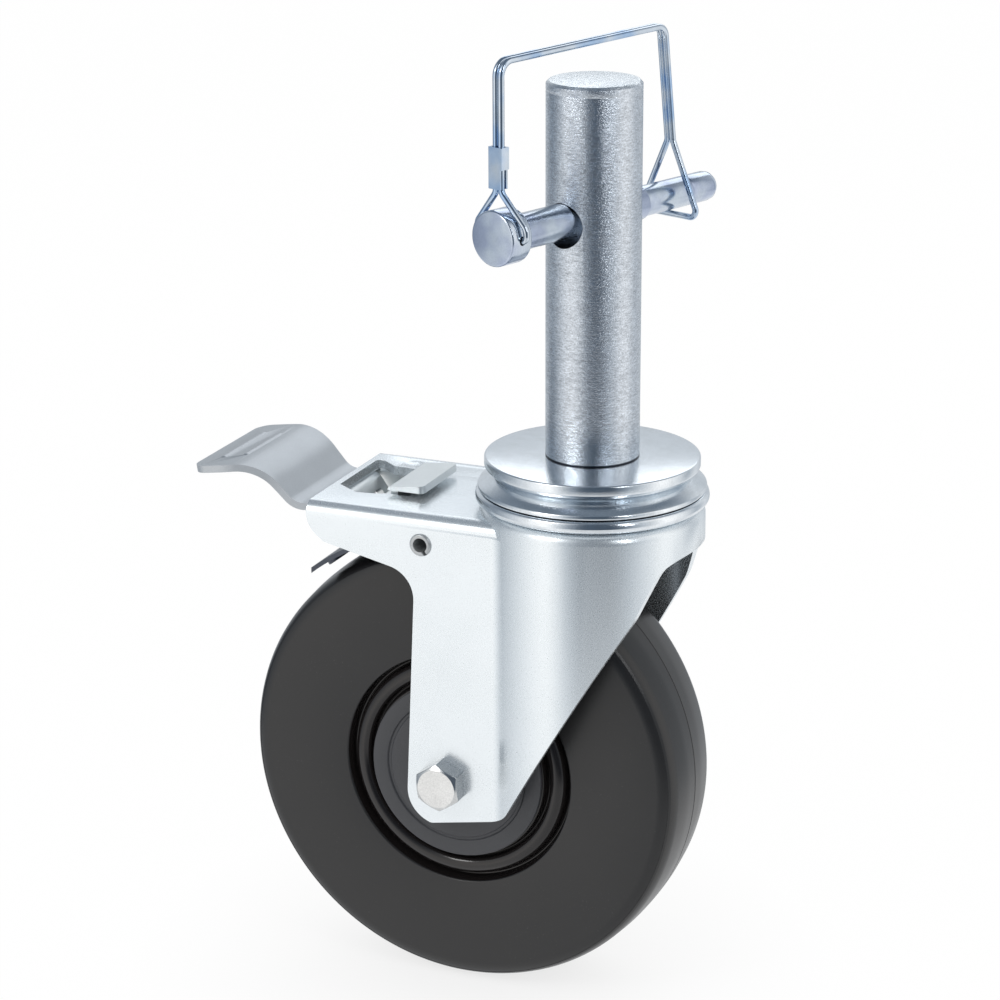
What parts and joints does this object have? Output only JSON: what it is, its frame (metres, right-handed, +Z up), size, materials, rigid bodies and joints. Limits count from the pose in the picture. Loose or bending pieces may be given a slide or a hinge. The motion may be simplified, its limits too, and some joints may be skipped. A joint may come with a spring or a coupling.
{
  "type": "scaffold castor",
  "caption": "Swivel scaffold castor with a solid stem, cross pin held by a wire bail, pressed steel fork, foot brake and black rubber wheel.",
  "frame": {"origin": "centre of the upper face of the disc, on the stem's axis, where a scaffold tube comes to rest", "axes": "+Z up along the stem, -X towards the axle and the brake pedal, Y along the axle"},
  "size_m": [0.2255, 0.1333, 0.4237],
  "materials": {
    "zinc_stem": "satin bright zinc, faintly mottled, with fine marks round it",
    "zinc_turned": "turned and zinc plated, polished",
    "bearing_steel": "ground and oiled steel",
    "bolt_steel": "bright zinc plated",
    "zinc_sheet": "bright zinc over pressed sheet, finely speckled",
    "spring_steel": "plain spring steel",
    "black_rubber": "smooth satin black rubber",
    "black_core": "glossy black moulded core",
    "cap_plastic": "dark grey moulded cap",
    "zinc_pedal": "matte grey zinc over pressed sheet",
    "shoe_steel": "dark finished steel",
    "zinc_pin": "bright zinc with a blue tint",
    "zinc_wire": "bright zinc wire with a blue tint"
  },
  "bodies": {
    "head": {"stem": "zinc_stem", "top_disc": "zinc_turned", "head_cup": "zinc_turned", "upper_balls": "bearing_steel", "king_sleeve": "bearing_steel", "lower_race": "zinc_turned", "lower_balls": "bearing_steel", "king_washer": "bolt_steel", "king_bolt": "bolt_steel"},
    "fork": {"fork": "zinc_sheet", "race_ring": "zinc_turned", "roll_pin": "spring_steel", "pivot_bushes": "spring_steel", "axle_bolt": "bolt_steel", "axle_washer": "bolt_steel", "axle_nut": "bolt_steel", "axle_sleeve": "bearing_steel", "bearing_spacer": "bearing_steel", "near_spacer": "bearing_steel", "far_spacer": "bearing_steel", "near_inner_ring": "bearing_steel", "far_inner_ring": "bearing_steel"},
    "wheel": {"tyre": "black_rubber", "wheel_core": "black_core", "near_hub_cap": "cap_plastic", "far_hub_cap": "cap_plastic", "near_outer_ring": "bearing_steel", "far_outer_ring": "bearing_steel", "near_bearing_balls": "bearing_steel", "far_bearing_balls": "bearing_steel"},
    "pedal": {"pedal": "zinc_pedal", "brake_shoe": "shoe_steel", "brake_studs": "shoe_steel"},
    "lock_pin": {"lock_pin": "zinc_pin"},
    "bail": {"bail_wire": "zinc_wire", "bail_ferrule": "zinc_wire"}
  },
  "joints": [
    {"name": "swivel", "type": "hinge", "parent": "head", "child": "fork", "pos_m": [0, 0, 0], "axis": [0, 0, 1], "continuous": true},
    {"name": "wheel_spin", "type": "hinge", "parent": "fork", "child": "wheel", "pos_m": [-0.0528, 0, -0.1442], "axis": [0, 1, 0], "continuous": true},
    {"name": "pedal_press", "type": "hinge", "parent": "fork", "child": "pedal", "pos_m": [-0.0624, 0, -0.0365], "axis": [0, -1, 0], "range_deg": [0, 3.6]},
    {"name": "pin_slide", "type": "slide", "parent": "head", "child": "lock_pin", "axis": [0.342, 0.9397, 0], "range_m": [-0.021, 0.0295]},
    {"name": "bail_swing", "type": "hinge", "parent": "lock_pin", "child": "bail", "pos_m": [-0.01907, -0.05239, 0.10405], "axis": [0.9397, -0.342, 0], "range_deg": [0, 110], "deforming": ["bail_wire"]}
  ]
}
